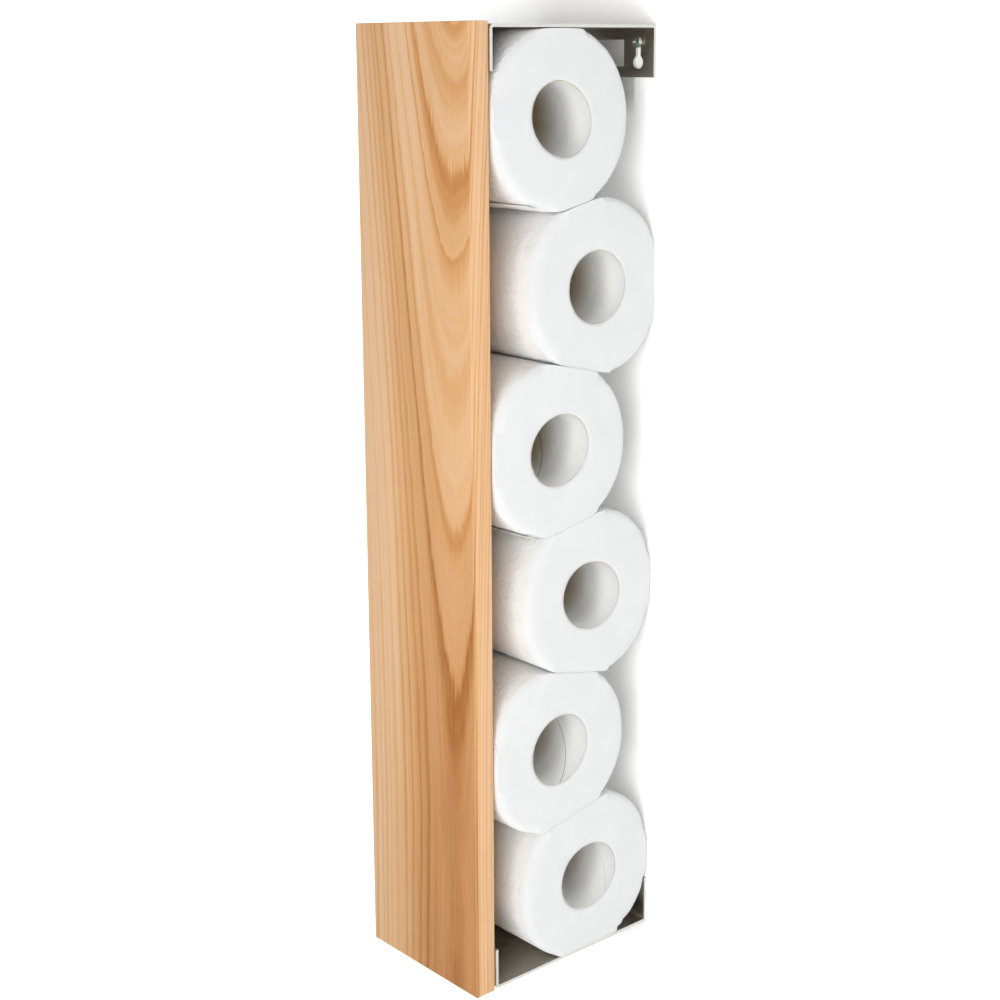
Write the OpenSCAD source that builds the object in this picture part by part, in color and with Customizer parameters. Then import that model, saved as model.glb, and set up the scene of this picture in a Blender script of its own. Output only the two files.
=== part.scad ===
/* [Front board] */
// Thickness of the board
board_t = 15; // [12:0.5:25]
// How far the brackets stand past the board at each side
board_reveal = 1; // [0:0.1:5]
// Radius along the board's upright edges
board_edge_r = 0.8; // [0.3:0.1:3]

/* [Space for the rolls] */
// Depth from the back of the board to the wall
bay_d = 135; // [125:1:165]
// Free height left over the top roll
head_room = 0.3; // [0.3:0.1:30]
// Gap between soft faces that touch
soft_gap = 0.3; // [0.2:0.05:0.5]

/* [Brackets] */
// How far the rolls stand past the brackets at each side
bracket_reveal = 1; // [0:0.1:5]
// Thickness of the bent sheet
sheet_t = 2; // [1.5:0.1:3]
// Radius inside each bend
bend_r = 0.8; // [0.5:0.1:3]
// Height of the flange on the wall, with the plate's thickness
flange_h = 32; // [29:0.5:60]
// Height of the lip on the board, with the plate's thickness
lip_h = 26.5; // [20:0.5:45]
// Distance from the end of the board to the bracket
bracket_inset = 1.5; // [0:0.1:10]
// Distance from the side of the bracket to the window in the flange
window_margin = 26; // [23:0.5:40]
// Height of the window in the flange
window_h = 16.5; // [5:0.5:19]
// Distance from the outer face of the plate to the window
window_drop = 9; // [5:0.5:12]

/* [Keyholes] */
// Width of the narrow slot
slot_w = 4; // [3:0.1:5]
// Diameter of the round hole that the screw head passes
entry_d = 8.2; // [7.6:0.1:9]
// Travel from the round hole to the end of the slot
keyhole_travel = 12.3; // [10:0.1:13]
// Distance from the outer face of the plate to the end of the slot
keyhole_drop = 10.5; // [9:0.1:12]
// Distance from the side of the bracket to the keyhole
keyhole_edge = 13.5; // [10:0.1:15]

/* [Wall screws] */
// Clearance all round the shank in the slot
shank_fit = 0.1; // [0.05:0.01:0.1]
// Diameter of the screw head
screw_head_d = 7.2; // [6:0.1:7.4]
// Height of the screw head
screw_head_h = 2.6; // [2:0.1:4]
// Length of the screw under its head
wall_screw_l = 34; // [25:1:60]
// Width of the cross recess
recess_w = 1.1; // [0.6:0.1:1.5]
// Span of the cross recess
recess_span = 4.4; // [3:0.1:5]
// Depth of the cross recess
recess_d = 1.5; // [1:0.1:1.8]

/* [Wall plugs] */
// Diameter of the plug
plug_d = 6.4; // [6:0.1:10]
// Length of the plug
plug_l = 30; // [20:1:50]
// Width of the slit that lets the plug spread
plug_slit_w = 0.8; // [0.4:0.1:1.5]
// Length of the plug's plain neck
plug_neck_l = 8; // [4:0.5:12]
// Length of one of the plug's teeth
tooth_l = 3; // [2:0.5:5]
// Depth of the plug's teeth
tooth_d = 0.5; // [0.2:0.1:0.8]

/* [Board screws] */
// Diameter of the shank
board_screw_d = 3.5; // [2.5:0.1:5]
// Diameter of the countersunk head
board_head_d = 6.6; // [5.5:0.1:8]
// Length with the head
board_screw_l = 12; // [8:0.5:14]
// Distance between the two screws of one lip
board_screw_spacing = 72; // [30:1:80]

/* [Rolls] */
// Diameter of a roll that nothing presses
roll_d = 110; // [100:1:120]
// Length of a roll
roll_l = 110; // [90:1:120]
// Radius round the ends of a roll
roll_edge_r = 4; // [1:0.5:8]
// Inside diameter of the core
core_d = 45; // [38:0.5:50]
// Wall of the core
core_wall = 1; // [0.6:0.1:1.5]
// Gap between the core and the paper round it
core_gap = 0.1; // [0.05:0.01:0.2]
// Distance from the end of the roll to the end of the core
core_recess = 0.6; // [0:0.1:3]

/* [Hidden] */

$fn = 96;

// How far each cut runs past the face that it opens
overrun = 1;

// Colours
oak = "burlywood";
steel = "silver";
zinc = "lightsteelblue";
nylon = "dimgray";
tissue = "whitesmoke";
board_grey = "lightgray";

// The rolls are counted from the top, and stand in turn against the board and the wall
roll_count = 6;
roll_r = roll_d / 2;
// How much of its radius each roll gives way against the board or the wall
side_press_shares = [0, 0.1, 0.024, 0.031, 0.015, 0.009];
// How much of its diameter each roll and the one below it give way against each other
stack_press_shares = [0.031, 0.067, 0.072, 0.085, 0.108];
// How much of its radius the top roll gives way under the plate, and the bottom one on it
top_press_share = 0.04;
floor_press_share = 0.1;

// Depths are counted from the wall, towards the front
board_back = -bay_d;
board_front = board_back - board_t;
function faces_board(i) = i % 2 == 0;
function pressed_r(i) = roll_r * (1 - side_press_shares[i]);
function core_y(i) = faces_board(i) ? board_back + soft_gap + pressed_r(i) : -soft_gap - pressed_r(i);

// Heights of the cores over the bottom plate, each stacked on the one below
function pitch(i) = roll_d * (1 - stack_press_shares[i]);
function rise(i) = sqrt(pow(pitch(i), 2) - pow(core_y(i) - core_y(i + 1), 2));
function core_h(i) = i == roll_count - 1
    ? soft_gap + roll_r * (1 - floor_press_share)
    : core_h(i + 1) + rise(i);
stack_h = core_h(0) + roll_r * (1 - top_press_share);

// Heights are counted from the round holes of the top bracket
top_face = keyhole_travel + keyhole_drop;
board_top = top_face + bracket_inset;
bracket_span = stack_h + head_room + 2 * sheet_t;
bottom_face = top_face - bracket_span;
board_l = bracket_span + 2 * bracket_inset;
floor_z = bottom_face + sheet_t;
ceiling_z = top_face - sheet_t;
function core_z(i) = floor_z + core_h(i);

// Widths, from the rolls inwards
bracket_w = roll_l - 2 * bracket_reveal;
board_w = bracket_w - 2 * board_reveal;
window_w = bracket_w - 2 * window_margin;

slot_r = slot_w / 2;
entry_r = entry_d / 2;
keyhole_x = bracket_w / 2 - keyhole_edge;
bend_outer_r = bend_r + sheet_t;

shank_r = slot_r - shank_fit;
// The screw head stands clear of the flange
head_seat = -sheet_t - soft_gap;
head_dome_r = screw_head_d;
tip_l = 2 * shank_r;
plug_bore_r = shank_r + shank_fit;
plug_start = soft_gap;

// The cone of a countersunk head is as deep as its overhang, and the recess runs down part of it
board_screw_r = board_screw_d / 2;
board_head_r = board_head_d / 2;
board_cone_h = board_head_r - board_screw_r;
board_tip_l = board_screw_d;
board_recess_w = board_screw_d / 4;
board_recess_span = board_head_d / 2;
board_recess_share = 0.7;
board_recess_d = board_cone_h * board_recess_share;
lip_screw_z = lip_h / 2;

paper_bore_r = core_d / 2 + core_wall + core_gap;
cutter = 2 * roll_d;

// A plate in the YZ plane, extruded evenly to both sides of the middle
module across(width) {
    rotate([90, 0, 90]) linear_extrude(width, center = true) children();
}

// One quarter of a bend, with its centre at the origin
module bend_quarter() {
    intersection() {
        difference() {
            circle(bend_outer_r);
            circle(bend_r);
        }
        square(bend_outer_r);
    }
}

// The bent sheet seen from the side: lip, plate and flange, with the plate's outer face at zero
module bracket_section() {
    plate_l = bay_d - 2 * bend_outer_r;
    translate([board_back + bend_outer_r, -sheet_t]) square([plate_l, sheet_t]);
    translate([-bend_outer_r, -bend_outer_r]) bend_quarter();
    translate([board_back + bend_outer_r, -bend_outer_r]) mirror([1, 0]) bend_quarter();
    translate([-sheet_t, -flange_h]) square([sheet_t, flange_h - bend_outer_r]);
    translate([board_back, -lip_h]) square([sheet_t, lip_h - bend_outer_r]);
}

// A keyhole through the flange, counted from its round hole
module keyhole_cut() {
    depth = sheet_t + 2 * overrun;
    translate([0, overrun, 0]) rotate([90, 0, 0]) {
        cylinder(r = entry_r, h = depth);
        translate([-slot_r, 0, 0]) cube([slot_w, keyhole_travel, depth]);
        translate([0, keyhole_travel, 0]) cylinder(r = slot_r, h = depth);
    }
}

// A countersunk hole through the lip, from the side of the rolls
module lip_hole() {
    rotate([90, 0, 0]) {
        translate([0, 0, -overrun]) cylinder(r = board_screw_r + shank_fit, h = sheet_t + 2 * overrun);
        cylinder(r1 = board_head_r + shank_fit, r2 = board_screw_r + shank_fit, h = board_cone_h);
        translate([0, 0, -overrun]) cylinder(r = board_head_r + shank_fit, h = overrun);
    }
}

// The pressed part that both ends of the holder share, as it lies at the top
module bracket() {
    difference() {
        across(bracket_w) bracket_section();
        for (side = [-1, 1]) {
            translate([side * keyhole_x, 0, -keyhole_drop - keyhole_travel]) keyhole_cut();
            translate([side * board_screw_spacing / 2, board_back + sheet_t, -lip_screw_z]) lip_hole();
        }
        translate([-window_w / 2, -sheet_t - overrun, -window_drop - window_h])
            cube([window_w, sheet_t + 2 * overrun, window_h]);
    }
}

module top_bracket() {
    color(steel) translate([0, 0, top_face]) bracket();
}

module bottom_bracket() {
    color(steel) translate([0, 0, bottom_face]) rotate([0, 180, 0]) bracket();
}

// The board's outline seen from above, with its four upright edges rounded
module board_outline() {
    translate([-board_w / 2 + board_edge_r, board_front]) square([board_w - 2 * board_edge_r, board_t]);
    translate([-board_w / 2, board_front + board_edge_r]) square([board_w, board_t - 2 * board_edge_r]);
    for (x = [-board_w / 2 + board_edge_r, board_w / 2 - board_edge_r])
        for (y = [board_front + board_edge_r, board_back - board_edge_r])
            translate([x, y]) circle(board_edge_r);
}

module front_board() {
    color(oak) difference() {
        translate([0, 0, board_top - board_l]) linear_extrude(board_l) board_outline();
        for (x = [-1, 1] * board_screw_spacing / 2)
            for (z = [top_face - lip_screw_z, bottom_face + lip_screw_z])
                translate([x, board_back + sheet_t, z]) rotate([90, 0, 0])
                    cylinder(r = board_screw_r, h = board_screw_l + soft_gap);
    }
}

// A cross recess that opens at zero and runs down
module cross_recess(span, width, depth) {
    for (turn = [0, 90])
        rotate(turn) translate([-span / 2, -width / 2, -depth]) cube([span, width, depth + overrun]);
}

// A countersunk screw with its head flush at zero, pointing down
module board_screw() {
    difference() {
        union() {
            translate([0, 0, -board_cone_h]) cylinder(r1 = board_screw_r, r2 = board_head_r, h = board_cone_h);
            translate([0, 0, board_tip_l - board_screw_l])
                cylinder(r = board_screw_r, h = board_screw_l - board_tip_l);
            translate([0, 0, -board_screw_l]) cylinder(r1 = 0, r2 = board_screw_r, h = board_tip_l);
        }
        cross_recess(board_recess_span, board_recess_w, board_recess_d);
    }
}

module board_screw_pair(z) {
    for (x = [-1, 1] * board_screw_spacing / 2)
        translate([x, board_back + sheet_t, z]) rotate([-90, 0, 0]) board_screw();
}

module top_board_screws() {
    color(zinc) board_screw_pair(top_face - lip_screw_z);
}

module bottom_board_screws() {
    color(zinc) board_screw_pair(bottom_face + lip_screw_z);
}

// A pan head screw whose head sits on zero, pointing down
module wall_screw() {
    difference() {
        union() {
            intersection() {
                cylinder(d = screw_head_d, h = screw_head_h);
                translate([0, 0, screw_head_h - head_dome_r]) sphere(head_dome_r);
            }
            translate([0, 0, tip_l - wall_screw_l]) cylinder(r = shank_r, h = wall_screw_l - tip_l);
            translate([0, 0, -wall_screw_l]) cylinder(r1 = 0, r2 = shank_r, h = tip_l);
        }
        translate([0, 0, screw_head_h]) cross_recess(recess_span, recess_w, recess_d);
    }
}

module wall_screw_at(side) {
    color(zinc) translate([side * keyhole_x, head_seat, keyhole_travel]) rotate([90, 0, 0]) wall_screw();
}

// Half the plug's section, with its mouth at zero and a row of teeth behind the neck
module plug_section() {
    plug_r = plug_d / 2;
    difference() {
        translate([plug_bore_r, 0]) square([plug_r - plug_bore_r, plug_l]);
        for (y = [plug_neck_l : tooth_l : plug_l - tooth_l])
            polygon([[plug_r - tooth_d, y], [plug_r + overrun, y],
                     [plug_r + overrun, y + tooth_l], [plug_r, y + tooth_l]]);
    }
}

module wall_plug_at(side) {
    color(nylon) translate([side * keyhole_x, plug_start, keyhole_travel]) rotate([-90, 0, 0])
        difference() {
            rotate_extrude() plug_section();
            translate([-plug_slit_w / 2, -plug_d, plug_neck_l + tooth_l])
                cube([plug_slit_w, 2 * plug_d, plug_l]);
        }
}

module wall_screw_left() wall_screw_at(-1);
module wall_screw_right() wall_screw_at(1);
module wall_plug_left() wall_plug_at(-1);
module wall_plug_right() wall_plug_at(1);

// Half the section of a roll, with rounded corners at its outside
module roll_section() {
    r = roll_edge_r;
    translate([paper_bore_r, -roll_l / 2]) square([roll_r - paper_bore_r - r, roll_l]);
    translate([paper_bore_r, -roll_l / 2 + r]) square([roll_r - paper_bore_r, roll_l - 2 * r]);
    for (y = [-roll_l / 2 + r, roll_l / 2 - r]) translate([roll_r - r, y]) circle(r);
}

// Cuts away what lies past a distance from the roll's axis, in a direction given as [y, z]
module press_plane(direction, distance) {
    rotate([atan2(direction.y, direction.x), 0, 0])
        translate([-cutter / 2, distance, -cutter / 2]) cube(cutter);
}

function toward(i, j) = [core_y(j) - core_y(i), core_z(j) - core_z(i)];

// The paper of one roll, flat where it is pressed by the board, the wall, the plates and its neighbours
module roll_paper(i) {
    color(tissue) translate([0, core_y(i), core_z(i)]) difference() {
        rotate([0, 90, 0]) rotate_extrude() roll_section();
        press_plane([faces_board(i) ? -1 : 1, 0], pressed_r(i));
        if (i > 0) press_plane(toward(i, i - 1), (pitch(i - 1) - soft_gap) / 2);
        else press_plane([0, 1], roll_r * (1 - top_press_share));
        if (i < roll_count - 1) press_plane(toward(i, i + 1), (pitch(i) - soft_gap) / 2);
        else press_plane([0, -1], roll_r * (1 - floor_press_share));
    }
}

module roll_core(i) {
    length = roll_l - 2 * core_recess;
    color(board_grey) translate([0, core_y(i), core_z(i)]) rotate([0, 90, 0]) difference() {
        cylinder(r = core_d / 2 + core_wall, h = length, center = true);
        cylinder(r = core_d / 2, h = length + 2 * overrun, center = true);
    }
}

front_board();
top_bracket();
bottom_bracket();
top_board_screws();
bottom_board_screws();
wall_screw_left();
wall_screw_right();
wall_plug_left();
wall_plug_right();
for (i = [0 : roll_count - 1]) {
    roll_paper(i);
    roll_core(i);
}
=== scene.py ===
import math

import bmesh
import bpy
from mathutils import Matrix, Vector, noise


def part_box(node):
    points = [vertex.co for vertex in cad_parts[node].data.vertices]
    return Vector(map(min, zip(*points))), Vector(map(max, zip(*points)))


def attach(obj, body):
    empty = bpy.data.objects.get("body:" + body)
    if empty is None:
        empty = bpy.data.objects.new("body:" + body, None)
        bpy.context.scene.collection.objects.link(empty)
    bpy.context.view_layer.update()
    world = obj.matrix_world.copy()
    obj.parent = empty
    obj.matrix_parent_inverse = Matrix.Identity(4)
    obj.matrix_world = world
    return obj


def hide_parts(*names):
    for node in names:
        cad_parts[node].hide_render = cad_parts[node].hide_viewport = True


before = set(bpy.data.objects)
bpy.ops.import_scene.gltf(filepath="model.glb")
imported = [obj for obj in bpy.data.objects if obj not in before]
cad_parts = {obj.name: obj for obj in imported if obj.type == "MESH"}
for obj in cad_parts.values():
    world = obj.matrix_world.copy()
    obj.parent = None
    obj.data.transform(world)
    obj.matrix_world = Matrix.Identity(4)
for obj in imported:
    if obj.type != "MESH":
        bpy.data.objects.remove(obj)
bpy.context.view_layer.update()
scene = bpy.context.scene
mm = 0.001


def toLinear(hexColour):
    # sRGB hex to the linear values that shaders take
    values = [int(hexColour[i:i + 2], 16) / 255 for i in (1, 3, 5)]
    return tuple(v / 12.92 if v <= 0.04045 else ((v + 0.055) / 1.055) ** 2.4 for v in values) + (1.0,)


def addNode(tree, kind, settings=None, inputs=None):
    # settings are the node's own fields; inputs are values, sockets, or nodes whose first output is meant
    node = tree.nodes.new(kind)
    for name, value in (settings or {}).items():
        setattr(node, name, value)
    for name, value in (inputs or {}).items():
        socket = node.inputs[name]
        if isinstance(value, bpy.types.Node):
            value = value.outputs[0]
        if isinstance(value, bpy.types.NodeSocket):
            tree.links.new(value, socket)
        else:
            socket.default_value = value
    return node


# the sums that Math nodes do here
plus = {"operation": "ADD"}
minus = {"operation": "SUBTRACT"}
times = {"operation": "MULTIPLY"}
over = {"operation": "DIVIDE"}
timesPlus = {"operation": "MULTIPLY_ADD"}
unsigned = {"operation": "ABSOLUTE"}
larger = {"operation": "MAXIMUM"}
smaller = {"operation": "MINIMUM"}


def newMaterial(name, **shader):
    # a material with a bare Principled BSDF; shader gives its constant sockets by name
    material = bpy.data.materials.new(name)
    material.use_nodes = True
    tree = material.node_tree
    tree.nodes.clear()
    output = tree.nodes.new("ShaderNodeOutputMaterial")
    surface = tree.nodes.new("ShaderNodeBsdfPrincipled")
    tree.links.new(surface.outputs["BSDF"], output.inputs["Surface"])
    for socket, value in shader.items():
        surface.inputs[socket.replace("_", " ")].default_value = value
    return material, tree, surface


def setRamp(node, stops):
    # stops are (position, value) with a grey value or an sRGB hex colour
    ramp = node.color_ramp
    while len(ramp.elements) > 1:
        ramp.elements.remove(ramp.elements[-1])
    for index, (position, value) in enumerate(stops):
        element = ramp.elements[0] if index == 0 else ramp.elements.new(position)
        element.position = position
        element.color = toLinear(value) if isinstance(value, str) else (value, value, value, 1.0)


def finishMesh(mesh, name, materials, body, replaced=(), smooth=True):
    # a bmesh becomes a piece that rides on its body
    data = bpy.data.meshes.new(name)
    mesh.to_mesh(data)
    mesh.free()
    piece = bpy.data.objects.new(name, data)
    scene.collection.objects.link(piece)
    for material in materials:
        data.materials.append(material)
    if smooth:
        data.shade_smooth()
    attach(piece, body)
    if replaced:
        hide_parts(*replaced)
    return piece


view = {
    "place": (0.8275, -0.8012, 0.0091),
    "turn": 49.01,       # degrees from looking straight at the wall
    "tilt": 11.84,       # degrees down
    "roll": -0.34,
    "lens": 63.6,
    "shiftY": -0.0816,
}


def makeCamera():
    data = bpy.data.cameras.new("photoCamera")
    data.sensor_width = 36
    data.lens = view["lens"]
    data.shift_y = view["shiftY"]
    data.clip_start = 0.01
    camera = bpy.data.objects.new("photoCamera", data)
    scene.collection.objects.link(camera)
    turn = Matrix.Rotation(math.radians(view["turn"]), 4, "Z")
    tilt = Matrix.Rotation(math.radians(90 - view["tilt"]), 4, "X")
    roll = Matrix.Rotation(math.radians(view["roll"]), 4, "Z")
    camera.matrix_world = Matrix.Translation(view["place"]) @ turn @ tilt @ roll
    scene.camera = camera


room = {
    "wallWidth": 6.0,
    "wallHeight": 5.0,
    "floorHeight": -1.5,
    "floorDepth": 4.0,
    "wallColour": "#F4F4F2",
    "floorColour": "#EFEFED",
    # light added for the camera only: close to the holder, per metre away from it, and at most; the smaller
    # amount near the holder and in the window is painted shade
    "liftNear": 0.22,
    "liftPerMetre": 3.6,
    "liftMost": 0.9,
    "windowPaintedShade": 0.2,
    "liftGlossy": 0.1,
    # the upright strip that the holder covers: half width, middle and half height, and the window's heights
    "stripHalf": 0.035,
    "stripMiddle": -0.277,
    "stripHalfHeight": 0.3,
    "endGrowth": 3.0,      # how much faster the light grows past the strip's ends
    "windowFrom": -0.035,
    "windowTo": -0.02,
}


def backdropMaterial(name, colour, seeThroughBack):
    material, tree, surface = newMaterial(name, Roughness=0.9, Specular_IOR_Level=0.1)
    surface.inputs["Base Color"].default_value = toLinear(colour)
    output = next(n for n in tree.nodes if n.type == "OUTPUT_MATERIAL")
    path = addNode(tree, "ShaderNodeLightPath")
    # how far a point lies from the upright strip that the holder covers
    axes = addNode(tree, "ShaderNodeSeparateXYZ", None,
                   {0: addNode(tree, "ShaderNodeTexCoord").outputs["Object"]})
    flank = addNode(tree, "ShaderNodeMath", unsigned, {0: axes.outputs["X"]})
    aside = addNode(tree, "ShaderNodeMath", minus, {0: flank, 1: room["stripHalf"]})
    aside = addNode(tree, "ShaderNodeMath", larger, {0: aside, 1: 0.0})
    middle = addNode(tree, "ShaderNodeMath", plus, {0: axes.outputs["Z"], 1: -room["stripMiddle"]})
    level = addNode(tree, "ShaderNodeMath", unsigned, {0: middle})
    beyond = addNode(tree, "ShaderNodeMath", minus, {0: level, 1: room["stripHalfHeight"]})
    beyond = addNode(tree, "ShaderNodeMath", larger, {0: beyond, 1: 0.0})
    far = addNode(tree, "ShaderNodeMath", timesPlus, {0: beyond, 1: room["endGrowth"], 2: aside})
    # painted shade: the camera-only light is weakest along the holder's strip and less again in the window,
    # so the wall looks shaded there
    grown = addNode(tree, "ShaderNodeMath", timesPlus, {0: far, 1: room["liftPerMetre"], 2: room["liftNear"]})
    capped = addNode(tree, "ShaderNodeMath", smaller, {0: grown, 1: room["liftMost"]})
    inside = addNode(tree, "ShaderNodeMapRange", None, {"Value": far, "From Min": 0.001, "From Max": 0.0})
    high = addNode(tree, "ShaderNodeMapRange", None,
                   {"Value": axes.outputs["Z"], "From Min": room["windowFrom"], "From Max": room["windowTo"]})
    shade = addNode(tree, "ShaderNodeMath", times, {0: inside, 1: high})
    shown = addNode(tree, "ShaderNodeMath", timesPlus, {0: shade, 1: -room["windowPaintedShade"], 2: capped})
    toCamera = addNode(tree, "ShaderNodeMath", times, {0: path.outputs["Is Camera Ray"], 1: shown})
    strength = addNode(tree, "ShaderNodeMath", timesPlus,
                       {0: path.outputs["Is Glossy Ray"], 1: room["liftGlossy"], 2: toCamera})
    glow = addNode(tree, "ShaderNodeEmission", None, {"Strength": strength})
    both = addNode(tree, "ShaderNodeAddShader", None, {0: surface, 1: glow})
    result = both.outputs[0]
    if seeThroughBack:
        # from behind the wall the holder's back shows
        facing = addNode(tree, "ShaderNodeNewGeometry")
        clear = addNode(tree, "ShaderNodeBsdfTransparent")
        result = addNode(tree, "ShaderNodeMixShader", None,
                         {0: facing.outputs["Backfacing"], 1: result, 2: clear}).outputs[0]
    tree.links.new(result, output.inputs["Surface"])
    return material


def makeRoom():
    mesh = bmesh.new()
    bmesh.ops.create_grid(mesh, x_segments=1, y_segments=1, size=0.5)
    bmesh.ops.scale(mesh, vec=(room["wallWidth"], room["wallHeight"], 1), verts=mesh.verts)
    bmesh.ops.rotate(mesh, matrix=Matrix.Rotation(math.radians(90), 3, "X"), verts=mesh.verts)
    bmesh.ops.translate(mesh, vec=(0, 0, room["floorHeight"] + room["wallHeight"] / 2), verts=mesh.verts)
    floor = bmesh.new()
    bmesh.ops.create_grid(floor, x_segments=1, y_segments=1, size=0.5)
    bmesh.ops.scale(floor, vec=(room["wallWidth"], room["floorDepth"], 1), verts=floor.verts)
    bmesh.ops.translate(floor, vec=(0, -room["floorDepth"] / 2, room["floorHeight"]), verts=floor.verts)
    parts = (("wall", mesh, "wallColour", True), ("floor", floor, "floorColour", False))
    for name, part, colour, back in parts:
        data = bpy.data.meshes.new(name)
        part.to_mesh(data)
        part.free()
        stageObject = bpy.data.objects.new(name, data)
        scene.collection.objects.link(stageObject)
        data.materials.append(backdropMaterial(name + "Paint", room[colour], back))


lamps = {
    # name: (degrees to the right of straight on, height, distance, width and height in metres, watts)
    "keySoftbox": (33, -0.22, 1.25, (0.66, 1.1), 12.6),
    "rightFill": (82, -0.2, 2.5, (1.2, 1.2), 2.6),
    "leftFill": (-70, 0.9, 2.8, (1.8, 1.8), 4),
}
lampTarget = (0, -0.07, -0.24)
skyLevel = 0.24   # what the white studio sends from all round


def makeLights():
    world = bpy.data.worlds.new("studio")
    scene.world = world
    world.use_nodes = True
    tree = world.node_tree
    tree.nodes.clear()
    path = addNode(tree, "ShaderNodeLightPath")
    seen = addNode(tree, "ShaderNodeMath", larger,
                   {0: path.outputs["Is Camera Ray"], 1: path.outputs["Is Transmission Ray"]})
    level = addNode(tree, "ShaderNodeMapRange", None,
                    {"Value": seen, "To Min": skyLevel, "To Max": 1.0})
    sky = addNode(tree, "ShaderNodeBackground", None, {"Color": (1, 1, 1, 1), "Strength": level})
    output = addNode(tree, "ShaderNodeOutputWorld")
    tree.links.new(sky.outputs[0], output.inputs["Surface"])
    for name, (aside, height, distance, size, watts) in lamps.items():
        data = bpy.data.lights.new(name, "AREA")
        data.shape = "RECTANGLE"
        data.size, data.size_y = size
        data.energy = watts
        lamp = bpy.data.objects.new(name, data)
        scene.collection.objects.link(lamp)
        aside = math.radians(aside)
        lamp.location = (distance * math.sin(aside), lampTarget[1] - distance * math.cos(aside), height)
        lamp.rotation_euler = (Vector(lampTarget) - lamp.location).to_track_quat("-Z", "Y").to_euler()


makeCamera()
makeRoom()
makeLights()
scene.view_settings.view_transform = "Standard"
print("camera, wall and light are ready")


board = {
    "edgeRound": 0.8 * mm,
    "endRound": 0.5 * mm,
    # growth rings: the pith lies in front of the board, and the board was sawn a little off its line
    "pithSide": 36,         # mm right of the middle, at mid height
    "pithDrift": -0.015,    # its drift per mm down
    "pithReach": 115,       # mm from the pith to the face
    "taper": 0.07,          # ring millimetres gained per mm down
    "taperEase": 6.5e-5,
    "ringPitch": 2.9,       # mm from one pore ring to the next, on average
    "ringDrift": 1.4,       # how far good and poor years move a ring, in mm
    # tone of the wood by ring distance in mm: a pale middle, the brown heart, and pale wood beyond it
    "zones": [(0, 0.49), (14, 0.53), (18, 0.37), (24, 0.37), (30, 0.46), (46, 0.57)],
    "ringDepth": 0.22,    # tone that the darkest ring takes away
    "footToneAndShadeDepth": 0.065,   # the lower third is that much browner, partly painted shade
    "sapLift": 0.14,     # how much paler the far side from the pith is
    "sideToneAndPaintedLight": 0.58,     # tone behind the face: the wood's own, raised as painted light on the side
    # noise layers: (name, lumps per metre across, deep and along, detail)
    "layers": [("wander", (30, 30, 9), 2.0), ("feather", (700, 700, 26), 2.0), ("fine", (900, 900, 11), 2.0),
               ("pores", (1700, 1700, 38), 1.0), ("patches", (16, 16, 4), 2.0)],
    # streaks that follow the rings: (name, lumps per mm, detail, roughness)
    "streaks": [("broad", (0.35, 0.2, 0.004), 2.0, 0.5), ("lines", (1.6, 0.8, 0.006), 3.0, 0.6)],
    "layerDepths": [("broad", 0.10), ("lines", 0.21), ("fine", 0.06), ("patches", 0.10)],
    # the wood's colour from its darkest tone to its palest
    "colours": [(0.16, "#AE6F38"), (0.34, "#D89D66"), (0.48, "#ECB884"), (0.61, "#F8CEA4")],
}


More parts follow.
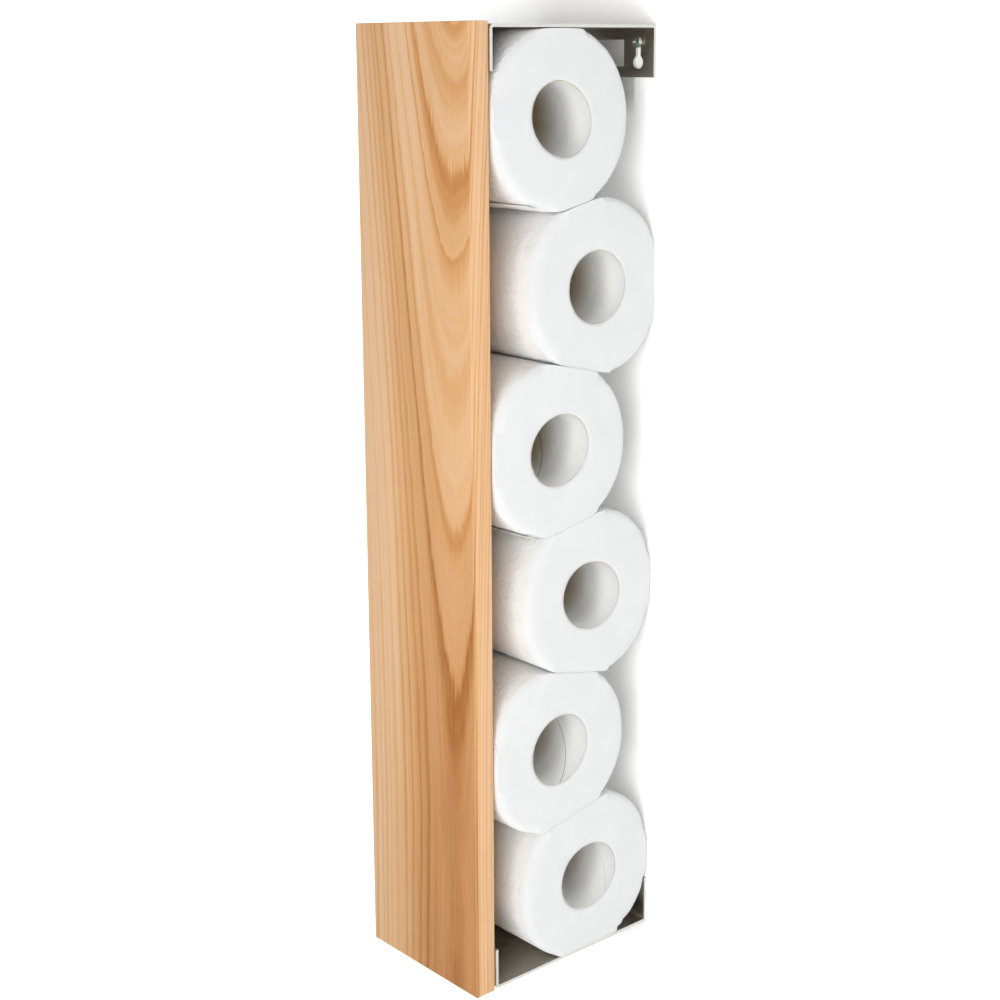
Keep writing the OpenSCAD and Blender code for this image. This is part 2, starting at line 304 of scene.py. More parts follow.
def oiledHardwoodMaterial():
    # Ring-porous hardwood, planed and oiled: pale cream wood with honey-brown pore bands, matt
    # sheen, and fine pore lines along the grain.
    material, tree, surface = newMaterial("oiledHardwood", Roughness=0.5, Specular_IOR_Level=0.3)
    place = addNode(tree, "ShaderNodeTexCoord").outputs["Object"]
    lowest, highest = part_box("front_board")
    # in millimetres, with Z counted down from the top of the board
    inBoard = addNode(tree, "ShaderNodeMapping", None,
                      {"Vector": place, "Scale": (1000, 1000, -1000), "Location": (0, 0, highest.z * 1000)})
    across, deep, down = addNode(tree, "ShaderNodeSeparateXYZ", None, {0: inBoard}).outputs
    # ring distance: how far a point lies from the tapered pith
    drift = addNode(tree, "ShaderNodeMath", timesPlus,
                    {0: down, 1: board["pithDrift"], 2: board["pithSide"] - 300 * board["pithDrift"]})
    aside = addNode(tree, "ShaderNodeMath", minus, {0: across, 1: drift})
    away = addNode(tree, "ShaderNodeMath", plus, {0: deep, 1: board["pithReach"] - lowest.y * 1000})
    fromPith = addNode(tree, "ShaderNodeCombineXYZ", None, {"X": aside, "Y": away})
    reach = addNode(tree, "ShaderNodeVectorMath", {"operation": "LENGTH"}, {0: fromPith}).outputs["Value"]
    eased = addNode(tree, "ShaderNodeMath", timesPlus, {0: down, 1: -board["taperEase"], 2: board["taper"]})
    gained = addNode(tree, "ShaderNodeMath", timesPlus, {0: eased, 1: down, 2: reach})
    straight = addNode(tree, "ShaderNodeMath", minus, {0: gained, 1: board["pithReach"]})
    # slow wander of a ring, feathered pore streaks at its edge, fine lines, pores and cloudy patches
    layers = {}
    for name, scale, detail in board["layers"]:
        stretched = addNode(tree, "ShaderNodeMapping", None, {"Vector": place, "Scale": scale})
        layers[name] = addNode(tree, "ShaderNodeTexNoise", None,
                               {"Vector": stretched, "Scale": 1.0, "Detail": detail})
    wander = addNode(tree, "ShaderNodeMapRange", None,
                     {"Value": layers["wander"], "To Min": -0.7, "To Max": 0.7})
    feather = addNode(tree, "ShaderNodeMapRange", None,
                      {"Value": layers["feather"], "To Min": -0.45, "To Max": 0.45})
    smooth = addNode(tree, "ShaderNodeMath", plus, {0: straight, 1: wander})
    rings = addNode(tree, "ShaderNodeMath", plus, {0: smooth, 1: feather})
    # each ring begins with a sharp dark edge and fades away from the pith, some years darker than others
    years = addNode(tree, "ShaderNodeTexNoise", {"noise_dimensions": "1D"},
                    {"W": smooth, "Scale": 0.16, "Detail": 1.0})
    moved = addNode(tree, "ShaderNodeMapRange", None,
                    {"Value": years, "From Min": 0.25, "From Max": 0.75,
                     "To Min": -board["ringDrift"], "To Max": board["ringDrift"]})
    moved = addNode(tree, "ShaderNodeMath", plus, {0: rings, 1: moved})
    count = addNode(tree, "ShaderNodeMath", over, {0: moved, 1: board["ringPitch"]})
    within = addNode(tree, "ShaderNodeMath", {"operation": "FRACT"}, {0: count})
    edge = addNode(tree, "ShaderNodeValToRGB", None, {"Fac": within})
    setRamp(edge, [(0.0, 0.0), (0.1, 1.0), (0.28, 0.6), (0.55, 0.0)])
    whole = addNode(tree, "ShaderNodeMath", {"operation": "FLOOR"}, {0: count})
    year = addNode(tree, "ShaderNodeTexWhiteNoise", {"noise_dimensions": "1D"}, {"W": whole})
    yearDark = addNode(tree, "ShaderNodeMapRange", None, {"Value": year, "To Min": 0.35, "To Max": 1.0})
    heartFaint = addNode(tree, "ShaderNodeMapRange", None,
                         {"Value": smooth, "From Min": 16, "From Max": 22, "To Min": 1.0, "To Max": 0.75})
    strength = addNode(tree, "ShaderNodeMath", times, {0: yearDark, 1: heartFaint})
    bands = addNode(tree, "ShaderNodeMath", times, {0: edge, 1: strength})
    zone = addNode(tree, "ShaderNodeValToRGB", None, {"Fac": addNode(tree, "ShaderNodeMath", over,
                   {0: smooth, 1: 50})})
    setRamp(zone, [(at / 50, tone) for at, tone in board["zones"]])

    # streaks that run along the grain: broad soft ones and fine lines
    shallow = addNode(tree, "ShaderNodeMath", times, {0: deep, 1: 0.3})
    grain = addNode(tree, "ShaderNodeCombineXYZ", None, {"X": smooth, "Y": shallow, "Z": down})
    for name, scale, detail, roughness in board["streaks"]:
        stretched = addNode(tree, "ShaderNodeMapping", None, {"Vector": grain, "Scale": scale})
        layers[name] = addNode(tree, "ShaderNodeTexNoise", None,
                               {"Vector": stretched, "Scale": 1.0, "Detail": detail, "Roughness": roughness})
    # pores show most in the dark rings
    poreSpots = addNode(tree, "ShaderNodeMapRange", None,
                        {"Value": layers["pores"], "From Min": 0.55, "From Max": 0.72})
    poreRings = addNode(tree, "ShaderNodeMapRange", None, {"Value": bands, "From Max": 0.6, "To Min": 0.35})
    poreDark = addNode(tree, "ShaderNodeMath", times, {0: poreSpots, 1: poreRings})
    # the foot is browner, partly as painted shade, the far side from the pith is paler, and the brown heart
    # stays near the face
    footToneAndShade = addNode(tree, "ShaderNodeMapRange", None,
                   {"Value": down, "From Min": 330, "From Max": 500, "To Max": board["footToneAndShadeDepth"]})
    sap = addNode(tree, "ShaderNodeMapRange", None,
                  {"Value": aside, "From Min": -22, "From Max": -62, "To Max": board["sapLift"]})
    tone = addNode(tree, "ShaderNodeMath", minus, {0: zone, 1: footToneAndShade})
    tone = addNode(tree, "ShaderNodeMath", plus, {0: tone, 1: sap})
    # the sides and back take their own paler tone: partly the wood, partly painted light standing in for the
    # weaker light on the side
    behind = addNode(tree, "ShaderNodeMapRange", None,
                     {"Value": deep, "From Min": lowest.y * 1000 + 0.7,
                      "From Max": lowest.y * 1000 + 3.0, "To Max": 0.85})
    short = addNode(tree, "ShaderNodeMath", minus, {0: board["sideToneAndPaintedLight"], 1: tone})
    tone = addNode(tree, "ShaderNodeMath", timesPlus, {0: short, 1: behind, 2: tone})
    ringDark = addNode(tree, "ShaderNodeMath", times, {0: bands, 1: board["ringDepth"]})
    tone = addNode(tree, "ShaderNodeMath", minus, {0: tone, 1: ringDark})
    for name, depth in board["layerDepths"]:
        change = addNode(tree, "ShaderNodeMath", timesPlus, {0: layers[name], 1: depth, 2: -depth / 2})
        tone = addNode(tree, "ShaderNodeMath", plus, {0: tone, 1: change})
    tone = addNode(tree, "ShaderNodeMath", timesPlus, {0: poreDark, 1: -0.045, 2: tone})
    darkest, palest = board["colours"][0][0], board["colours"][-1][0]
    shown = addNode(tree, "ShaderNodeMapRange", None,
                    {"Value": tone, "From Min": darkest, "From Max": palest})
    colour = addNode(tree, "ShaderNodeValToRGB", None, {"Fac": shown})
    setRamp(colour, [((at - darkest) / (palest - darkest), shade) for at, shade in board["colours"]])
    # the pore rings are a little more orange than the rest
    tint = addNode(tree, "ShaderNodeMix", {"data_type": "RGBA", "blend_type": "MULTIPLY"},
                   {"Factor": bands, 6: colour})
    tint.inputs[7].default_value = (1.05, 1.0, 0.9, 1.0)
    tree.links.new(tint.outputs[2], surface.inputs["Base Color"])
    sheen = addNode(tree, "ShaderNodeMapRange", None,
                    {"Value": layers["fine"], "From Min": 0.3, "From Max": 0.7,
                     "To Min": 0.44, "To Max": 0.58})
    tree.links.new(sheen.outputs[0], surface.inputs["Roughness"])
    relief = addNode(tree, "ShaderNodeMath", timesPlus, {0: bands, 1: 0.3, 2: poreDark})
    bump = addNode(tree, "ShaderNodeBump", {"invert": True},
                   {"Height": relief, "Strength": 0.25, "Distance": 0.0002})
    tree.links.new(bump.outputs[0], surface.inputs["Normal"])
    return material


def makeBoard():
    lowest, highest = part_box("front_board")
    mesh = bmesh.new()
    bmesh.ops.create_cube(mesh, size=1)
    bmesh.ops.scale(mesh, vec=highest - lowest, verts=mesh.verts)
    bmesh.ops.translate(mesh, vec=(highest + lowest) / 2, verts=mesh.verts)
    upright = [e for e in mesh.edges if abs(e.verts[0].co.z - e.verts[1].co.z) > 0.1]
    bmesh.ops.bevel(mesh, geom=upright, offset=board["edgeRound"], affect="EDGES",
                    segments=4, profile=0.5, material=-1)
    square = math.pi / 2
    ends = [e for e in mesh.edges
            if len(e.link_faces) == 2 and abs(abs(e.calc_face_angle(0)) - square) < 0.01]
    bmesh.ops.bevel(mesh, geom=ends, offset=board["endRound"], affect="EDGES",
                    segments=3, profile=0.5, material=-1)
    piece = finishMesh(mesh, "boardWood", [oiledHardwoodMaterial()], "holder", ["front_board"])
    return piece


makeBoard()
print("the front board is ready")


steel = {
    "edgeBreak": 0.25 * mm,
    "colour": "#BAB1A5",
    "brushPitch": 0.35,   # mm between brush lines, coarser than real so that they show
}


def brushedSteelMaterial():
    # Stainless sheet, brushed along its length: satin, with fine streaks along X
    material, tree, surface = newMaterial("brushedStainless", Metallic=1.0)
    place = addNode(tree, "ShaderNodeTexCoord").outputs["Object"]
    fine = 1000 / steel["brushPitch"]
    stretched = addNode(tree, "ShaderNodeMapping", None, {"Vector": place, "Scale": (25, fine, fine)})
    streaks = addNode(tree, "ShaderNodeTexNoise", None,
                      {"Vector": stretched, "Scale": 1.0, "Detail": 2.0})
    clouds = addNode(tree, "ShaderNodeTexNoise", None, {"Vector": place, "Scale": 60.0, "Detail": 3.0})
    tone = addNode(tree, "ShaderNodeMix", {"data_type": "RGBA"}, {"Factor": streaks.outputs["Fac"]})
    tone.inputs[6].default_value = toLinear(steel["colour"])
    tone.inputs[7].default_value = toLinear("#A69D92")
    tree.links.new(tone.outputs[2], surface.inputs["Base Color"])
    rough = addNode(tree, "ShaderNodeMapRange", None,
                    {"Value": clouds, "From Min": 0.3, "From Max": 0.7, "To Min": 0.26, "To Max": 0.38})
    tree.links.new(rough.outputs[0], surface.inputs["Roughness"])
    bump = addNode(tree, "ShaderNodeBump", None,
                   {"Height": streaks.outputs["Fac"], "Strength": 0.12, "Distance": 0.00005})
    tree.links.new(bump.outputs[0], surface.inputs["Normal"])
    return material


def cutEdgeMaterial():
    # The sheared edges: a near-white metal, paler than the sheet's own steel, as painted highlight along the
    # thin edges
    material, tree, surface = newMaterial("edgePaintedHighlight", Metallic=1.0)
    place = addNode(tree, "ShaderNodeTexCoord").outputs["Object"]
    grain = addNode(tree, "ShaderNodeTexNoise", None, {"Vector": place, "Scale": 700.0, "Detail": 3.0})
    tone = addNode(tree, "ShaderNodeMix", {"data_type": "RGBA"}, {"Factor": grain.outputs["Fac"]})
    tone.inputs[6].default_value = toLinear("#F4F4F2")
    tone.inputs[7].default_value = toLinear("#E6E6E3")
    tree.links.new(tone.outputs[2], surface.inputs["Base Color"])
    rough = addNode(tree, "ShaderNodeMapRange", None,
                    {"Value": grain.outputs["Fac"], "To Min": 0.35, "To Max": 0.55})
    tree.links.new(rough.outputs[0], surface.inputs["Roughness"])
    return material


def makeBracket(node, name, materials):
    # the pressed part with its sharp edges broken, as after deburring
    mesh = bmesh.new()
    mesh.from_mesh(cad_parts[node].data)
    bmesh.ops.remove_doubles(mesh, verts=mesh.verts, dist=0.001 * mm)
    bmesh.ops.dissolve_limit(mesh, angle_limit=math.radians(0.5), verts=mesh.verts, edges=mesh.edges)
    sharp = [e for e in mesh.edges if len(e.link_faces) == 2 and e.calc_face_angle(0) > math.radians(40)]
    bmesh.ops.bevel(mesh, geom=sharp, offset=steel["edgeBreak"], affect="EDGES", segments=2, profile=0.5,
                    material=-1, clamp_overlap=True)
    # faces across X are the cut edges, which take the painted-highlight metal
    for face in mesh.faces:
        face.material_index = 1 if abs(face.normal.x) > 0.5 else 0
    return finishMesh(mesh, name, materials, "holder", [node])


sheetMaterials = [brushedSteelMaterial(), cutEdgeMaterial()]
for node, name in (("top_bracket", "topBracketSheet"), ("bottom_bracket", "bottomBracketSheet")):
    piece = makeBracket(node, name, sheetMaterials)
    bpy.context.view_layer.objects.active = piece
    piece.select_set(True)
    bpy.ops.object.shade_auto_smooth(angle=math.radians(25))
    piece.select_set(False)
print("the brackets are ready")


def zincMaterial():
    # Bright zinc plate on steel: pale grey with a faint blue-green cast and a fine grain
    material, tree, surface = newMaterial("zincPlate", Metallic=1.0)
    place = addNode(tree, "ShaderNodeTexCoord").outputs["Object"]
    grain = addNode(tree, "ShaderNodeTexNoise", None, {"Vector": place, "Scale": 1500.0, "Detail": 3.0})
    tone = addNode(tree, "ShaderNodeMix", {"data_type": "RGBA"}, {"Factor": grain.outputs["Fac"]})
    tone.inputs[6].default_value = toLinear("#C9D2CB")
    tone.inputs[7].default_value = toLinear("#AEBBB2")
    tree.links.new(tone.outputs[2], surface.inputs["Base Color"])
    rough = addNode(tree, "ShaderNodeMapRange", None,
                    {"Value": grain.outputs["Fac"], "To Min": 0.22, "To Max": 0.42})
    tree.links.new(rough.outputs[0], surface.inputs["Roughness"])
    return material


def nylonMaterial():
    # Moulded nylon: mid grey, softly shiny, with a very fine moulding grain
    material, tree, surface = newMaterial("mouldedNylon", Roughness=0.45, IOR=1.53)
    place = addNode(tree, "ShaderNodeTexCoord").outputs["Object"]
    grain = addNode(tree, "ShaderNodeTexNoise", None, {"Vector": place, "Scale": 2500.0, "Detail": 2.0})
    tone = addNode(tree, "ShaderNodeMix", {"data_type": "RGBA"}, {"Factor": grain.outputs["Fac"]})
    tone.inputs[6].default_value = toLinear("#8B8E90")
    tone.inputs[7].default_value = toLinear("#7D8082")
    tree.links.new(tone.outputs[2], surface.inputs["Base Color"])
    bump = addNode(tree, "ShaderNodeBump", None,
                   {"Height": grain.outputs["Fac"], "Strength": 0.15, "Distance": 0.00005})
    tree.links.new(bump.outputs[0], surface.inputs["Normal"])
    return material


zinc = zincMaterial()
nylon = nylonMaterial()
for node in ("wall_screw_left", "wall_screw_right", "top_board_screws", "bottom_board_screws"):
    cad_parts[node].data.materials.clear()
    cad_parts[node].data.materials.append(zinc)
for node in ("wall_plug_left", "wall_plug_right"):
    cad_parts[node].data.materials.clear()
    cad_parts[node].data.materials.append(nylon)
print("the screws and plugs are ready")


rolls = {
    "halfLength": 55.0,
    "bore": 23.0,          # radii of the plain spun body, before it takes its real outline
    "radius": 55.0,
    "rimFront": 6.0,       # how round the rim is where it stands free, and towards the wall
    "rimBack": 2.6,
    "rimPressed": 0.12,    # ... and where a neighbour presses it
    "turnSteps": 360,
    "sideRows": 60,
    "endRows": 14,
    "rimRows": 8,
    "softNeighbour": 2.6,  # mm over which a pressed flat runs into the round
    "softWall": 6.0,
    "softGap": 0.02,
    "windingPitch": 0.6,   # mm, coarser than real so that it shows
    # a flat turns this share of the way from the line between two cores to level
    "levelShare": 0.25,
    "hardGap": 0.4,        # mm kept from the board, the wall and the plates
    "plateSheet": 2.0,
    # paper that a flat pushes aside stands out beside it: how much, how many degrees away, how broad
    "bulge": (0.3, 55, 28),
    "lump": 0.6,           # mm, unevenness of a soft roll
    # (roll, middle in degrees, half width, depth in mm) of the scalloped and torn stretches of rim
    "ragged": [(0, 52, 34, 0.8), (1, 66, 24, 0.9), (2, 38, 26, 0.8), (4, 35, 22, 0.6), (5, 300, 16, 4.0),
               (0, 320, 14, 0.5), (3, 55, 18, 0.6), (5, 60, 20, 0.4)],
    # (roll, angle where a loose end of paper leaves the roll, angle of its edge, lift there in mm)
    "tails": [(0, 247.5, 240.3, 1.1), (2, 246.5, 239.3, 1.3)],
    "tailSheet": 0.35,
}

cores = {
    "halfLength": 54.5,
    "wall": 0.55,
    "fit": 0.1,
    "seamPitch": 93.0,
    # where each spiral seam crosses the wall side, and how dark it is
    "seams": [(29.0, 0.15), (-25.0, 0.4), (9.0, 0.95), (-30.0, 0.4), (31.0, 0.85), (42.0, 0.3)],
    "plainInner": 22.5,    # radii of the plain spun tube, before it takes its real outline
    "plainOuter": 23.5,
    "radius": 22.8,
    # each core is squashed a little: how far in mm, and towards which way in degrees
    "squash": [(1.5, -30), (0.5, 0), (1.0, 15), (1.5, -15), (0.5, 30), (1.0, 0)],
}


def coreCentre(index):
    # depth and height of a core's middle in mm, as the solids have it
    lowest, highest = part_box(f"roll_{index + 1}_core")
    middle = (lowest + highest) / 2
    return middle.y / mm, middle.z / mm


rollCentres = [coreCentre(index) for index in range(len(cores["squash"]))]


def contactPlanes(index):
    # (angle, distance, softness) of each flat that a neighbour, the board, the wall or a plate presses
    depth, height = rollCentres[index]
    gap, soft = rolls["hardGap"], rolls["softNeighbour"]
    if index % 2 == 0:
        planes = [(math.pi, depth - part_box("front_board")[1].y / mm - gap, rolls["softWall"])]
    else:
        planes = [(0.0, -depth - gap, rolls["softWall"])]
    for other in (index - 1, index + 1):
        if 0 <= other < len(rollCentres):
            across, up = rollCentres[other][0] - depth, rollCentres[other][1] - height
            level = math.copysign(math.pi / 2, up)
            line = math.atan2(up, across)
            turn = line + (level - line) * rolls["levelShare"]
            half = (across * math.cos(turn) + up * math.sin(turn)) / 2
            planes.append((turn, half - rolls["softGap"], soft))
    if index == 0:
        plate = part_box("top_bracket")[1].z / mm - rolls["plateSheet"]
        planes.append((math.pi / 2, plate - height - gap, soft))
    if index == len(rollCentres) - 1:
        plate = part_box("bottom_bracket")[0].z / mm + rolls["plateSheet"]
        planes.append((-math.pi / 2, height - plate - gap, soft))
    return planes


def freeReach(index, planes, angle):
    # a round roll, fuller beside each flat by a share of what the flat takes away
    share, away, breadth = rolls["bulge"]
    reach = rolls["radius"]
    for direction, distance, soft in planes:
        turned = abs((math.degrees(angle - direction) + 180) % 360 - 180)
        reach += share * max(0.0, rolls["radius"] - distance) * math.exp(-((turned - away) / breadth) ** 2)
    lump = noise.noise(Vector((1.5 * math.cos(angle), 1.5 * math.sin(angle), index * 7.0)))
    return reach + rolls["lump"] * lump


def outerReach(index, planes, angle):
    # the outline where the flats have cut it, and how hard the neighbours press there, from 0 to 1
    reach, pressed = freeReach(index, planes, angle), 0.0
    for direction, distance, soft in planes:
        lean = math.cos(angle - direction)
        if lean > 0.3:
            flat = distance / lean
            blend = max(soft - abs(reach - flat), 0.0) / soft
            pressed = max(pressed, min(1.0, max(0.0, 1 - (flat - reach) / 1.5)))
            reach = min(reach, flat) - blend * blend * soft / 4
    return reach, pressed


def raggedness(index, angle):
    # how much of the rim is lost to torn and scalloped edges, in mm
    loss = 0.0
    for roll, middle, width, depth in rolls["ragged"]:
        if roll == index:
            away = abs((math.degrees(angle) - middle + 180) % 360 - 180) / width
            if away < 1:
                wave = 1.4 * noise.noise(Vector((math.degrees(angle) / 4.5, index * 5.0, 0)))
                wave += 0.6 * noise.noise(Vector((math.degrees(angle) / 2.2, index * 5.0, 9)))
                loss += depth * min(1.0, 2 * (1 - away)) * max(0.0, wave + 0.15)
    return loss


def coreReach(index, angle):
    amount, towards = cores["squash"][index]
    return cores["radius"] + amount * math.cos(2 * (angle - math.radians(towards)))


def spinProfile(profile, steps):
    # a closed (x, radius) outline in mm becomes a full ring about X
    mesh = bmesh.new()
    points = [mesh.verts.new((x * mm, 0, r * mm)) for x, r in profile]
    edges = [mesh.edges.new((points[i], points[(i + 1) % len(points)])) for i in range(len(points))]
    bmesh.ops.spin(mesh, geom=points + edges, cent=(0, 0, 0), axis=(1, 0, 0), dvec=(0, 0, 0),
                   angle=math.radians(360), steps=steps, use_merge=True, use_duplicate=False)
    bmesh.ops.remove_doubles(mesh, verts=mesh.verts, dist=0.01 * mm)
    bmesh.ops.recalc_face_normals(mesh, faces=mesh.faces)
    return mesh


def tissueMaterial():
    # Creped tissue: matt white, soft, with fine crinkles on the outside and fine windings on the ends
    material, tree, surface = newMaterial("crepedTissue", Roughness=1.0, Specular_IOR_Level=0.05,
                                          Diffuse_Roughness=1.0, Subsurface_Weight=0.25,
                                          Subsurface_Scale=0.002)
    surface.inputs["Subsurface Radius"].default_value = (1.0, 1.0, 1.0)
    place = addNode(tree, "ShaderNodeTexCoord")
    layer = addNode(tree, "ShaderNodeAttribute", {"attribute_name": "winding"})
    cloud = addNode(tree, "ShaderNodeTexNoise", None,
                    {"Vector": place.outputs["Object"], "Scale": 45.0, "Detail": 3.0})
    tone = addNode(tree, "ShaderNodeMix", {"data_type": "RGBA"}, {"Factor": cloud.outputs["Fac"]})
    tone.inputs[6].default_value = toLinear("#F1F3F3")
    tone.inputs[7].default_value = toLinear("#EBEDEE")
    tree.links.new(tone.outputs[2], surface.inputs["Base Color"])
    ring = addNode(tree, "ShaderNodeMath", times,
                   {0: layer.outputs["Fac"], 1: 2 * math.pi / rolls["windingPitch"]})
    wave = addNode(tree, "ShaderNodeMath", {"operation": "SINE"}, {0: ring})
    fuzz = addNode(tree, "ShaderNodeTexNoise", None,
                   {"Vector": place.outputs["Object"], "Scale": 900.0, "Detail": 3.0})
    # crinkles: soft lumps and dents 2 to 4 mm wide, stronger in patches
    lumps = addNode(tree, "ShaderNodeTexNoise", None,
                    {"Vector": place.outputs["UV"], "Scale": 0.33, "Detail": 2.0,
                     "Roughness": 0.55, "Distortion": 0.6})
    ridge = addNode(tree, "ShaderNodeMapRange", {"interpolation_type": "SMOOTHSTEP"},
                    {"Value": lumps.outputs["Fac"], "From Min": 0.4, "From Max": 0.66})
    patch = addNode(tree, "ShaderNodeTexNoise", None,
                    {"Vector": place.outputs["UV"], "Scale": 0.045, "Detail": 2.0})
    amount = addNode(tree, "ShaderNodeMapRange", None,
                     {"Value": patch, "From Min": 0.42, "From Max": 0.6, "To Min": 0.2})
    onSide = addNode(tree, "ShaderNodeMapRange", None,
                     {"Value": layer.outputs["Fac"], "From Min": 31.2, "From Max": 31.9})
    strength = addNode(tree, "ShaderNodeMath", times, {0: amount, 1: onSide})
    crinkle = addNode(tree, "ShaderNodeMath", times, {0: ridge, 1: strength})
    height = addNode(tree, "ShaderNodeMath", timesPlus, {0: wave, 1: 0.03, 2: crinkle})
    total = addNode(tree, "ShaderNodeMath", timesPlus,
                    {0: fuzz.outputs["Fac"], 1: 0.12, 2: height})
    bump = addNode(tree, "ShaderNodeBump", None, {"Height": total, "Strength": 1.0, "Distance": 0.0006})
    tree.links.new(bump.outputs[0], surface.inputs["Normal"])
    return material


def greyBoardMaterial():
    # Grey recycled board, wound in a spiral: matt, mottled, with a dark seam
    material, tree, surface = newMaterial("greyBoard", Roughness=0.9, Specular_IOR_Level=0.15)
    place = addNode(tree, "ShaderNodeTexCoord")
    mottle = addNode(tree, "ShaderNodeTexNoise", None,
                     {"Vector": place.outputs["Object"], "Scale": 260.0, "Detail": 5.0})
    pale = addNode(tree, "ShaderNodeMix", {"data_type": "RGBA"}, {"Factor": mottle.outputs["Fac"]})
    pale.inputs[6].default_value = toLinear("#E9E9E7")
    pale.inputs[7].default_value = toLinear("#E1E1DF")
    # painted shade: the board turns brown deeper inside the bore, where little light reaches, and stays pale
    # at the mouths
    axes = addNode(tree, "ShaderNodeSeparateXYZ", None, {0: place.outputs["Object"]})
    depth = addNode(tree, "ShaderNodeMath", unsigned, {0: axes.outputs["X"]})
    paintedBoreShade = addNode(tree, "ShaderNodeMapRange", None,
                     {"Value": depth, "From Min": 0.004, "From Max": 0.027, "To Min": 1.0, "To Max": 0.0})
    tone = addNode(tree, "ShaderNodeMix", {"data_type": "RGBA"}, {"Factor": paintedBoreShade, 6: pale.outputs[2]})
    tone.inputs[7].default_value = toLinear("#BCAB8B")
    # the seam is a hairline at the middle of each turn of V; U holds how dark it is
    uv = addNode(tree, "ShaderNodeSeparateXYZ", None, {0: place.outputs["UV"]})
    turn = addNode(tree, "ShaderNodeMath", {"operation": "FRACT"}, {0: uv.outputs["Y"]})
    middle = addNode(tree, "ShaderNodeMath", minus, {0: turn, 1: 0.5})
    off = addNode(tree, "ShaderNodeMath", unsigned, {0: middle})
    line = addNode(tree, "ShaderNodeMapRange", None,
                   {"Value": off, "From Min": 0.0012, "From Max": 0.0032, "To Min": 1.0, "To Max": 0.0})
    seam = addNode(tree, "ShaderNodeMath", times, {0: line, 1: uv.outputs["X"]})
    seamed = addNode(tree, "ShaderNodeMix", {"data_type": "RGBA"}, {"Factor": seam, 6: tone.outputs[2]})
    seamed.inputs[7].default_value = toLinear("#3F3830")
    tree.links.new(seamed.outputs[2], surface.inputs["Base Color"])
    bump = addNode(tree, "ShaderNodeBump", None,
                   {"Height": mottle.outputs["Fac"], "Strength": 0.3, "Distance": 0.0001})
    tree.links.new(bump.outputs[0], surface.inputs["Normal"])
    return material


def kraftEdgeMaterial():
    # The cut edge of the core: brown kraft layers, dusted pale in places
    material, tree, surface = newMaterial("kraftEdge", Roughness=0.9, Specular_IOR_Level=0.1)
    place = addNode(tree, "ShaderNodeTexCoord")
    fibre = addNode(tree, "ShaderNodeTexNoise", None,
                    {"Vector": place.outputs["Object"], "Scale": 90.0, "Detail": 4.0})
    dust = addNode(tree, "ShaderNodeMapRange", None,
                   {"Value": fibre.outputs["Fac"], "From Min": 0.38, "From Max": 0.62})
    tone = addNode(tree, "ShaderNodeMix", {"data_type": "RGBA"}, {"Factor": dust})
    tone.inputs[6].default_value = toLinear("#DCC5A6")
    tone.inputs[7].default_value = toLinear("#E4DFD6")
    tree.links.new(tone.outputs[2], surface.inputs["Base Color"])
    return material


def addTail(mesh, index, planes, first, last, lift):
    # a loose end of paper: it leaves the roll and ends in a straight, slightly wavy edge
    y0, z0 = rollCentres[index]
    half = rolls["halfLength"] - 0.3
    made = bmesh.ops.create_grid(mesh, x_segments=60, y_segments=14, size=1)["verts"]
    made = dict.fromkeys(made)
    faces = [face for face in mesh.faces if face.verts[0] in made]
    for vert in made:
        share = (vert.co.y + 1) / 2
        x = half * vert.co.x
        angle = math.radians(first + (last - first) * share)
        base, _ = outerReach(index, planes, angle)
        wave = noise.noise(Vector((x / 14, share * 2, index * 3.0)))
        reach = base + 0.1 + lift * share ** 1.4 * (1 + 0.3 * wave)
        vert.co = (x * mm, (y0 + reach * math.cos(angle)) * mm, (z0 + reach * math.sin(angle)) * mm)
    bmesh.ops.recalc_face_normals(mesh, faces=faces)
    bmesh.ops.solidify(mesh, geom=faces, thickness=rolls["tailSheet"] * mm)


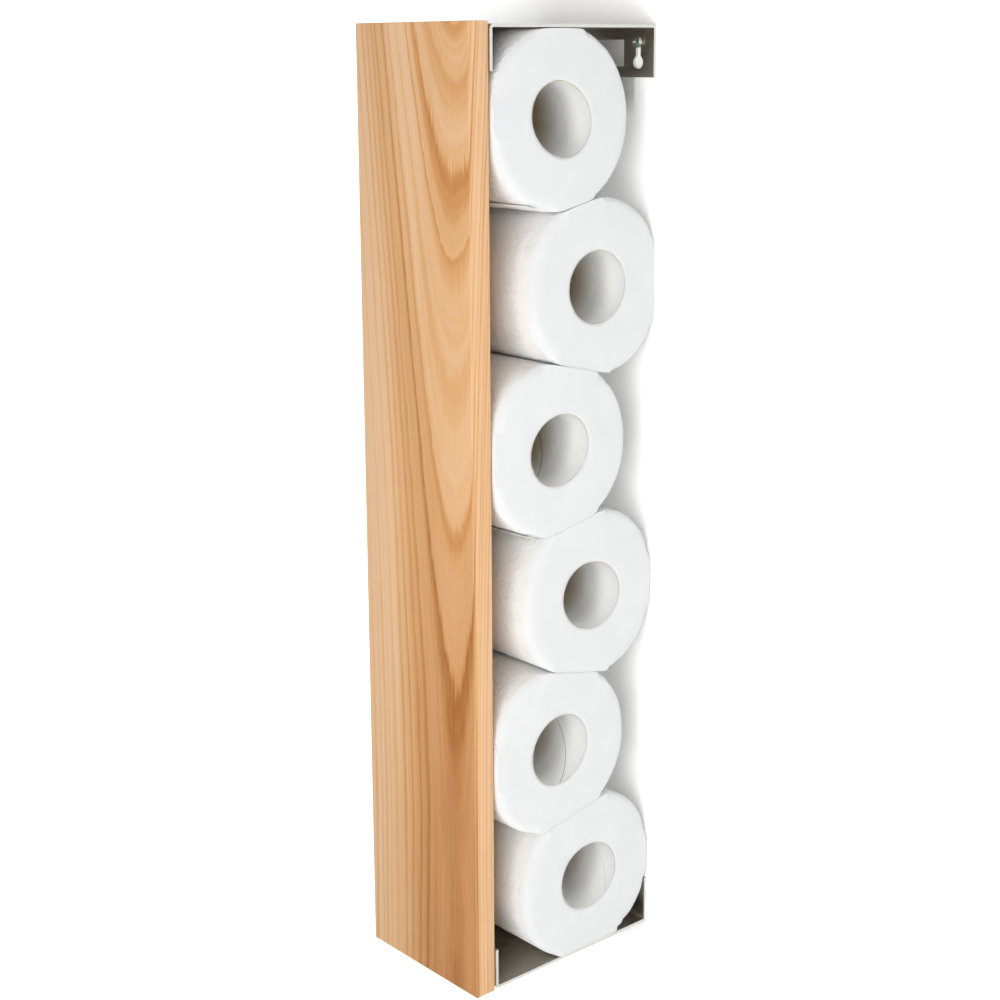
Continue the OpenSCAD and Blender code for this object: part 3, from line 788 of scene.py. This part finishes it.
def makeRollPaper(index, material):
    y0, z0 = rollCentres[index]
    planes = contactPlanes(index)
    bore, radius, half = rolls["bore"], rolls["radius"], rolls["halfLength"]
    rim = rolls["rimFront"]
    # half section: out over the right end, round the rim, along the side and back
    right = [(half, bore + (radius - rim - bore) * row / rolls["endRows"]) for row in range(rolls["endRows"])]
    for row in range(rolls["rimRows"] + 1):
        turn = math.pi / 2 * row / rolls["rimRows"]
        right.append((half - rim + rim * math.cos(turn), radius - rim + rim * math.sin(turn)))
    side = [((half - rim) * (1 - 2 * row / rolls["sideRows"]), radius) for row in range(1, rolls["sideRows"])]
    left = [(-x, r) for x, r in reversed(right)]
    mesh = spinProfile(right + side + left + [(-half * 0.5, bore), (half * 0.5, bore)], rolls["turnSteps"])

    winding = mesh.verts.layers.float.new("winding")
    flat, outline = {}, {}
    for vert in mesh.verts:
        x, r = vert.co.x / mm, math.hypot(vert.co.y, vert.co.z) / mm
        angle = math.atan2(vert.co.z, vert.co.y)
        key = round(math.degrees(angle) * 4)
        if key not in outline:
            reach, pressed = outerReach(index, planes, angle)
            facing = 0.5 - 0.5 * math.cos(angle)
            free = rolls["rimBack"] + (rolls["rimFront"] - rolls["rimBack"]) * min(1.0, 1.6 * facing)
            ownRim = free + (rolls["rimPressed"] - free) * pressed
            outline[key] = (reach, ownRim, raggedness(index, angle), 1 - pressed)
        outer, ownRim, torn, free = outline[key]
        flat[vert] = (angle, x, r)
        vert[winding] = r - bore
        inner = coreReach(index, angle) + cores["wall"] + cores["fit"]
        ripple = noise.noise(Vector((x / 18, 3 * math.cos(angle), 3 * math.sin(angle) + 10 * index)))
        outer += (0.3 * ripple - 0.1) * free - torn * max(0.0, 1 - (half - abs(x)) / 5)
        place = Vector((r / 14 + index * 7, 1.5 * math.cos(angle), 1.5 * math.sin(angle)))
        swell = 0.35 * noise.noise(place) - 0.12
        swell *= 1 - (1 - free) * max(0.0, min(1.0, (r - bore) / 20 - 0.4))
        if r > radius - rim - 0.01:
            # the rim and the side
            inRim = max(0.0, abs(x) - (half - rim)) / rim
            across = max(0.0, r - (radius - rim)) / rim
            reach = outer - ownRim * (1 - across)
            length = half - ownRim * (1 - inRim) if inRim > 0 else abs(x) / (half - rim) * (half - ownRim)
            x = math.copysign(length + swell * inRim, x)
        else:
            share = (r - bore) / (radius - rim - bore)
            reach = inner + share * (outer - ownRim - inner)
            x += math.copysign(swell, x) if abs(x) > half * 0.9 else 0.0
        vert.co = (x * mm, (y0 + reach * math.cos(angle)) * mm, (z0 + reach * math.sin(angle)) * mm)

    uvLayer = mesh.loops.layers.uv.new("around")
    for face in mesh.faces:
        angles = [flat[loop.vert][0] for loop in face.loops]
        wrap = max(angles) - min(angles) > math.pi
        for loop, angle in zip(face.loops, angles):
            if wrap and angle < 0:
                angle += 2 * math.pi
            _, x, r = flat[loop.vert]
            loop[uvLayer].uv = (angle * radius + 40 * index,
                                x if r > radius - 0.5 else math.copysign(half + radius - r, x))
    for roll, first, last, lift in rolls["tails"]:
        if roll == index:
            addTail(mesh, index, planes, first, last, lift)
            for vert in mesh.verts:
                if vert not in flat:
                    vert[winding] = radius - bore
    return finishMesh(mesh, f"roll{index + 1}Tissue", [material], f"roll_{index + 1}",
                      [f"roll_{index + 1}_paper"])


def makeCore(index, inside, edge):
    y0, z0 = rollCentres[index]
    half, wall = cores["halfLength"], cores["wall"]
    inner, outer = cores["plainInner"], cores["plainOuter"]
    outside = [(half, inner), (half, outer), (half * 0.5, outer)]
    outside += [(-half * 0.5, outer), (-half, outer), (-half, inner)]
    mesh = spinProfile(outside + [(half * share, inner) for share in (-0.6, -0.2, 0.2, 0.6)], 144)
    uvLayer = mesh.loops.layers.uv.new("spiral")
    flat = {}
    for vert in mesh.verts:
        x, r = vert.co.x / mm, math.hypot(vert.co.y, vert.co.z) / mm
        angle = math.atan2(vert.co.z, vert.co.y)
        flat[vert] = (angle, x)
        # the cut is a little ragged
        reach = coreReach(index, angle) + (wall if r > (inner + outer) / 2 else 0)
        if abs(x) > half - 0.1:
            reach += 0.18 * noise.noise(Vector((9 * math.cos(angle), 9 * math.sin(angle), index)))
        vert.co = (x * mm, (y0 + reach * math.cos(angle)) * mm, (z0 + reach * math.sin(angle)) * mm)
    place, dark = cores["seams"][index]
    for face in mesh.faces:
        face.material_index = 1 if abs(face.calc_center_median().x) > (half - 0.01) * mm else 0
        angles = [flat[loop.vert][0] for loop in face.loops]
        wrap = max(angles) - min(angles) > math.pi
        for loop, angle in zip(face.loops, angles):
            if wrap and angle < 0:
                angle += 2 * math.pi
            x = flat[loop.vert][1]
            loop[uvLayer].uv = (dark, (x - place) / cores["seamPitch"] + angle / (2 * math.pi) + 0.5)
    piece = finishMesh(mesh, f"roll{index + 1}Core", [inside, edge], f"roll_{index + 1}",
                       [f"roll_{index + 1}_core"])
    bpy.context.view_layer.objects.active = piece
    piece.select_set(True)
    bpy.ops.object.shade_auto_smooth(angle=math.radians(35))
    piece.select_set(False)
    return piece


tissue = tissueMaterial()
greyBoard = greyBoardMaterial()
kraftEdge = kraftEdgeMaterial()
for index in range(len(rollCentres)):
    makeRollPaper(index, tissue)
    makeCore(index, greyBoard, kraftEdge)
print("the rolls are ready")
